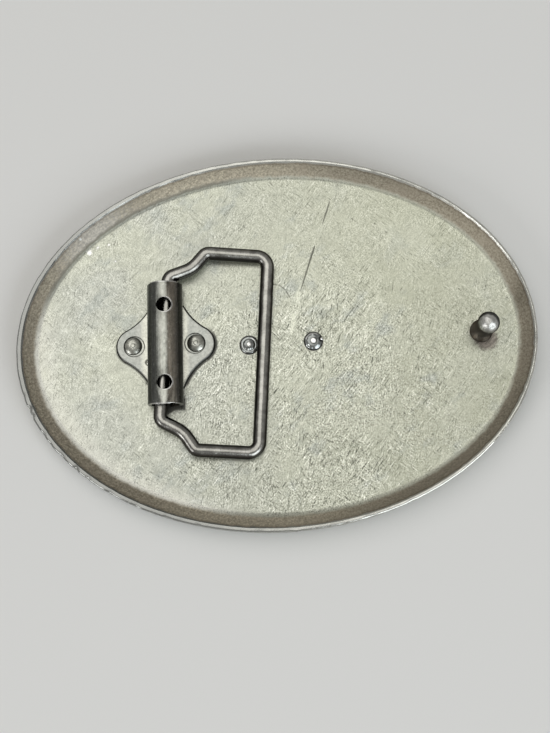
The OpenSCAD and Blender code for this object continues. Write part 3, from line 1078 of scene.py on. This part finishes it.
rivet_dark = (0.38, 0.385, 0.34)
rivet_pale = (0.56, 0.565, 0.51)
rivet_low_dark = (0.12, 0.12, 0.105)
rivet_metal, shader, where = new_metal("set_rivet", 1.0, 0.3)
rivet_foot = floor_z + dome_base
pits = mottle(where, 0.9, 3, 0.6)
# The head is painted darker round its foot
low_dark = ramp(uneven(where.z, pits, 0.5 * mm), rivet_foot + 0.3 * mm, rivet_foot + 0.1 * mm)
colour = blend(ramp(pits, 0.35, 0.6), rivet_dark, rivet_pale)
colour = blend(low_dark * 0.8, colour, rivet_low_dark)
finish_metal(shader, colour, ramp(pits, 0.3, 0.7, 0.34, 0.26), pits, 0.05)
rivet.data.materials.append(rivet_metal)
bpy.ops.object.duplicate()
other_rivet = bpy.context.object
other_rivet.name = "ear_rivet_right_head"
rivets = zip((rivet, other_rivet), ("ear_rivet_left", "ear_rivet_right"), ear_ends, head_shifts)
for piece, node, ear_end, head_shift in rivets:
    take(piece)
    bpy.ops.object.mode_set(mode="EDIT")
    pick_points(piece, lambda co: co.z > dome_base - hair)
    bpy.ops.transform.translate(value=head_shift)
    close_piece(piece)
    set_down(piece, plate_place @ Matrix.Translation((ear_end.x, ear_end.y, 0)))
    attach(piece, "buckle")
    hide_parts(node)


# Centre pins
# Two steel pins that come through the shell from the front. Their ends were hammered over the floor
# into low heads. The left one has a step round it, and the right one a burr on its rim.
pin_r = 2.0 * mm
pin_h = 0.8 * mm
pin_gap = 0.05 * mm
pin_edge = 0.02 * mm
blow_h = 0.5 * mm
# How each head rises: insets from its rim and heights, in millimetres
stepped_rows = (
    (0, 0), (0.03, 0.12), (0.14, 0.22), (0.4, 0.34), (0.62, 0.4), (0.68, 0.37), (0.74, 0.5), (0.86, 0.58),
    (1.1, 0.68), (1.35, 0.74), (1.52, 0.76), (1.58, 0.8),
)
round_rows = (
    (0, 0), (0.03, 0.17), (0.12, 0.29), (0.28, 0.4), (0.44, 0.49), (0.6, 0.575), (0.76, 0.655), (0.86, 0.69),
    (1.1, 0.715), (1.4, 0.74), (1.48, 0.79), (1.56, 0.8),
)
burr_r = 0.36 * mm
burr_at = (1.76 * mm, 0.32 * mm, floor_z + 0.5 * mm)
# Hammer marks on each head: place round the pin, how far out, how hard, and how wide
left_blows = ((250, 0.95, 0.16, 0.5), (285, 1.0, 0.12, 0.4), (150, 1.2, 0.06, 0.5), (320, 1.6, 0.1, 0.4))
right_blows = (
    (92, 1.6, -0.12, 0.55), (222, 1.6, 0.1, 0.35), (265, 1.6, 0.14, 0.4), (160, 1.5, 0.08, 0.45),
    (40, 1.2, 0.06, 0.6),
)

pin_dark = (0.27, 0.286, 0.28)
pin_pale = (0.47, 0.49, 0.475)
disc_grey = (0.13, 0.138, 0.133)
spot_bright = (0.85, 0.85, 0.82)
burr_shade = (0.03, 0.03, 0.03)
rim_shade_black = (0.045, 0.045, 0.042)
highlight_steel = (0.95, 0.95, 0.92)
pin_metal, shader, where = new_metal("hammered_pin", 1.0, 0.3)
pits = mottle(where, 0.9, 3, 0.6)
up = uneven(where.z, pits, 0.4 * mm)
colour = blend(ramp(pits, 0.3, 0.65), pin_dark, pin_pale)
disc_z = floor_z + pin_h - 0.08 * mm
colour = blend(ramp(up, disc_z, disc_z + 0.1 * mm, 0.0, 0.6), colour, disc_grey)
top = ramp(where.z, floor_z + pin_h + 0.03 * mm, floor_z + pin_h + 0.055 * mm)
colour = blend(top, colour, spot_bright)
burr_place = Vector(burr_at) + Vector((pin_middles[1].x, pin_middles[1].y, 0))
off_burr = distance(where, tuple(burr_place + Vector((0, 0, 0.4 * burr_r))))
colour = blend(ramp(off_burr, 2.1 * burr_r, 1.5 * burr_r, 0.0, 0.85), colour, burr_shade)
colour = blend(ramp(off_burr, burr_r, 0.7 * burr_r), colour, bare_metal_and_highlight)

# Painted highlights on the left pin's step and the right pin's crest towards the back, and painted shade on
# both rims
left_place, right_place = [(middle.x, middle.y, 0) for middle in pin_middles]
from_left = vector_sum("SUBTRACT", flat(where), left_place)
from_right = vector_sum("SUBTRACT", flat(where), right_place)
off_left = vector_sum("LENGTH", from_left)
off_right = vector_sum("LENGTH", from_right)
step_highlight = ramp(vector_sum("DOT_PRODUCT", from_left, (0.62, 0.78, 0)), 1.35 * mm, 1.5 * mm)
step_highlight = step_highlight * ramp(off_left, 1.72 * mm, 1.64 * mm)
colour = blend(step_highlight, colour, highlight_steel)
crest_highlight = band(off_right, 1.42 * mm, 1.52 * mm, 1.7 * mm, 1.8 * mm)
crest_highlight = crest_highlight * ramp(vector_sum("DOT_PRODUCT", from_right, (-0.3, 0.95, 0)), 0.6 * mm, 1.3 * mm, 0.0, 0.8)
colour = blend(crest_highlight, colour, bare_metal_and_highlight)
rim = ramp(smaller(off_right, off_left), 1.8 * mm, 1.88 * mm) * ramp(off_burr, 0.9 * burr_r, 1.2 * burr_r)
rim = rim * ramp(where.z, floor_z - 0.8 * mm, floor_z - 0.4 * mm)
colour = blend(rim, colour, rim_shade_black)
finish_metal(shader, colour, ramp(pits, 0.3, 0.7, 0.25, 0.17), pits, 0.05)

pins = (("pin_left", stepped_rows, left_blows), ("pin_right", round_rows, right_blows))
for (node, rows, blows), middle in zip(pins, pin_middles):
    rows = [(inset * mm, height * mm) for inset, height in rows]
    pin = start_head(node + "_end", pin_r, floor_z + pin_gap, pin_edge, rows, floor_z)
    for degrees, out_mm, blow, reach in blows:
        spot = spoke(degrees) * out_mm * mm
        spot.z = floor_z + blow_h
        push_near(pin, spot, (0, 0, -blow * mm), reach * mm)
    if node == "pin_right":
        close_piece(pin)
        burr = start_piece(
            "burr", bpy.ops.mesh.primitive_uv_sphere_add, segments=24, ring_count=12, radius=burr_r,
            location=burr_at,
        )
        pick_points(burr, lambda co: co.x > burr_at[0])
        bpy.ops.transform.resize(value=(0.9, 1.15, 0.9), center_override=burr_at)
        close_piece(burr)
        join_to(pin, burr)
        bpy.ops.object.mode_set(mode="EDIT")
    close_piece(pin)
    shade(pin, 60)
    set_down(pin, Matrix.Translation((middle.x, middle.y, 0)))
    pin.data.materials.append(pin_metal)
    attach(pin, "buckle")
    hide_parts(node)


# Peg
# A turned steel stud, soldered in the floor near the right end: a ball on a short neck that widens
# to a round foot. The ball's rim is painted dark as shade round a cap that faces the camera. Its lower half,
# its neck and its foot are painted dark brown, as shade under the ball and as the foot's own dark colour, and
# the foot is stained by the solder.
peg_x = 43.75 * mm
peg_gap = 0.05 * mm
foot_r = 2.45 * mm
foot_h = 0.9 * mm
shoulder_h = 1.3 * mm
neck_r = 1.75 * mm
peg_shank_r = 1.4 * mm
ball_r = 2.3 * mm
ball_z = 8.3 * mm
lean_out = math.radians(1.8)
lean_across = math.radians(-1.4)

peg = start_piece(
    "peg_stud", bpy.ops.mesh.primitive_uv_sphere_add, segments=64, ring_count=40, radius=ball_r,
    location=(0, 0, ball_z),
)
neck_top = ball_z - math.sqrt(ball_r ** 2 - neck_r ** 2)
pick_faces(peg, lambda middle, normal: middle.z < neck_top)
bpy.ops.mesh.delete(type="FACE")
bpy.ops.mesh.select_all(action="DESELECT")
bpy.ops.mesh.select_mode(type="EDGE")
bpy.ops.mesh.select_non_manifold()
rim_points = [point.co for point in bmesh.from_edit_mesh(peg.data).verts if point.select]
rim_z = sum(point.z for point in rim_points) / len(rim_points)
rim_r = sum(math.hypot(point.x, point.y) for point in rim_points) / len(rim_points)
peg_rows = [
    (neck_r, neck_top - 0.25 * mm), (neck_r * 0.985, (neck_top + foot_h + shoulder_h) / 2),
    (neck_r * 1.02, foot_h + shoulder_h + 0.15 * mm), (neck_r + 0.16 * mm, foot_h + shoulder_h - 0.25 * mm),
    (foot_r - 0.22 * mm, foot_h + 0.3 * mm), (foot_r - 0.03 * mm, foot_h - 0.05 * mm),
    (foot_r, foot_h - 0.3 * mm), (foot_r, 0.08 * mm), (foot_r - 0.08 * mm, 0.0),
    (peg_shank_r, 0.0), (peg_shank_r, -1.5 * mm),
]
for ring_r, ring_z in peg_rows:
    bpy.ops.mesh.extrude_edges_move(TRANSFORM_OT_translate={"value": (0, 0, ring_z - rim_z)})
    bpy.ops.transform.resize(value=(ring_r / rim_r, ring_r / rim_r, 1))
    rim_r = ring_r
    rim_z = ring_z
bpy.ops.mesh.edge_face_add()
pick_points(peg, lambda co: co.z > foot_h)
bpy.ops.transform.rotate(value=-lean_out, orient_axis="Y", center_override=(0, 0, 0))
bpy.ops.transform.rotate(value=-lean_across, orient_axis="X", center_override=(0, 0, 0))

# Small dents in the ball from use: their direction from its middle, how deep and how wide
ball_dents = (
    (0.26, -0.5, 0.09, 1.1), (-0.6, 0.2, 0.05, 0.8), (0.2, 0.55, 0.05, 0.8), (-0.38, -0.42, 0.05, 0.9),
    (-0.1, -0.1, 0.05, 0.6),
)
for side_x, side_y, dent, reach in ball_dents:
    out = Vector((side_x, side_y, math.sqrt(1 - side_x ** 2 - side_y ** 2)))
    push_near(peg, Vector((0, 0, ball_z)) + ball_r * out, -dent * mm * out, reach * mm)
close_piece(peg)
shade(peg, 50)

peg_grey = (0.45, 0.45, 0.43)
peg_pale = (0.7, 0.7, 0.67)
ball_rim_shade = (0.12, 0.12, 0.113)
shade_and_foot_brown = (0.24, 0.22, 0.205)
solder_stain = (0.17, 0.125, 0.105)
peg_metal, shader, where = new_metal("turned_peg", 1.0, 0.15)
pits = mottle(where, 0.9, 4, 0.6)
up = where.z - floor_z
# Painted shade under the ball, and the foot's own dark colour: the lower half, neck and foot are darkened
# brown
dark = ramp(up + pits * (1.6 * mm), 10.2 * mm, 8.9 * mm)
stain = ramp(up, 3.4 * mm, 0.6 * mm) * ramp(pits, 0.4, 0.6)
colour = blend(ramp(pits, 0.35, 0.65), peg_grey, peg_pale)
# Painted shade: the ball is dark outside a cap that faces the camera
ball_out = vector_sum("SUBTRACT", where, (peg_x, 0, floor_z + peg_gap + ball_z))
cap_height = uneven(vector_sum("DOT_PRODUCT", ball_out, (-0.25, -0.42, 0.87)), pits, 0.6 * mm)
colour = blend(ramp(cap_height, 0.5 * ball_r, 0.3 * ball_r), colour, ball_rim_shade)
colour = blend(dark * 0.95, colour, shade_and_foot_brown)
colour = blend(stain * 0.6, colour, solder_stain)
finish_metal(shader, colour, ramp(pits, 0.3, 0.7, 0.44, 0.34), pits, 0.12)
set_down(peg, Matrix.Translation((peg_x, 0, floor_z + peg_gap)))
peg.data.materials.append(peg_metal)
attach(peg, "buckle")
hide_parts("peg")


# Wire loop
# One length of drawn steel wire, bent by hand round pins, with a gunmetal finish. Its two ends sit
# loosely in the tube, so it swings, and the belt's end is folded round its far bar.
swing = frame["joints"][0]
loop_place = Vector(swing["pos_m"])
loop_turn = math.atan2(swing["axis"][0], -swing["axis"][1])
wire_r = 1.43 * mm
loop_reach = 21.05 * mm
loop_half = 19.7 * mm + wire_r
bar_clear = 0.17 * mm
loop_pitch = math.asin((tube_axis - wire_r - bar_clear) / loop_reach)
wire_end_y = 0.6 * mm
arm_out = 15.3 * mm
knee_x = 5 * mm
knee_y = arm_out + knee_x * math.tan(math.radians(24))
shoulder_x = knee_x + (loop_half - knee_y) / math.tan(math.radians(53))
half_path = [
    (0, wire_end_y, 0), (0, arm_out, 1.6 * mm), (knee_x, knee_y, 6 * mm), (shoulder_x, loop_half, 1.6 * mm),
    (loop_reach, loop_half, 2.4 * mm),
]
path = half_path + [(x, -y, bend) for x, y, bend in reversed(half_path)]
degrees_per_step = 6

loop = start_plate("wire_loop", 40, wire_r, location=(0, wire_end_y, 0), rotation=(math.pi / 2, 0, 0))
legs = [Vector(after[:2]) - Vector(before[:2]) for before, after in zip(path, path[1:])]
used = 0.0
for number, leg in enumerate(legs):
    turn = 0.0 if number == len(legs) - 1 else leg.angle_signed(legs[number + 1])
    bend = path[number + 1][2]
    bend_cut = bend * math.tan(abs(turn) / 2)
    ahead = leg.normalized()
    straight = leg.length - used - bend_cut
    bpy.ops.mesh.extrude_region_move(TRANSFORM_OT_translate={"value": (*(straight * ahead), 0)})
    if turn:
        aside = Vector((ahead.y, -ahead.x)) * math.copysign(bend, turn)
        start = Vector(path[number + 1][:2]) - bend_cut * ahead
        steps = max(3, round(math.degrees(abs(turn)) / degrees_per_step))
        bpy.ops.mesh.spin(steps=steps, angle=turn, center=(*(start + aside), 0), axis=(0, 0, 1))
    used = bend_cut
close_piece(loop)
loop_tilt = Matrix.Rotation(loop_turn, 4, "Z") @ Matrix.Rotation(loop_pitch, 4, "Y")
set_down(loop, Matrix.Translation(loop_place) @ loop_tilt)
shade(loop, 40)

worn_grey = (0.4, 0.395, 0.365)
worn_pale = (0.5, 0.495, 0.46)
gunmetal_and_shade = (0.058, 0.055, 0.051)
wire_speck = (0.14, 0.13, 0.12)
wire_metal, shader, where = new_metal("gunmetal_wire", 1.0, 0.6)
on_loop = from_place(where, loop_turn, loop_place)
over_loop = vector_sum("DOT_PRODUCT", on_loop, (math.sin(loop_pitch), 0, math.cos(loop_pitch)))
marks = use_group(drawn, Vector=on_loop)
wear_field = mottle(on_loop, 2.2, 3, 0.6)
colour = blend(ramp(wear_field, 0.35, 0.68), worn_grey, worn_pale)
# The wire's sides are painted dark, partly its gunmetal finish and partly painted shade; its top and
# underside are worn pale
unworn_and_shaded = ramp(over_loop + wear_field * (0.5 * mm), 1.22 * wire_r, 0.8 * wire_r)
unworn_and_shaded = unworn_and_shaded * ramp(over_loop, -0.45 * wire_r, -0.15 * wire_r)
colour = blend(unworn_and_shaded * 0.95, colour, gunmetal_and_shade)
colour = blend(marks["Specks"] * 0.2, colour, wire_speck)
finish_metal(shader, colour, ramp(wear_field, 0.3, 0.7, 0.2, 0.27), marks["Lines"] + wear_field, 0.006)
loop.data.materials.append(wire_metal)
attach(loop, "loop")
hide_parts("loop")
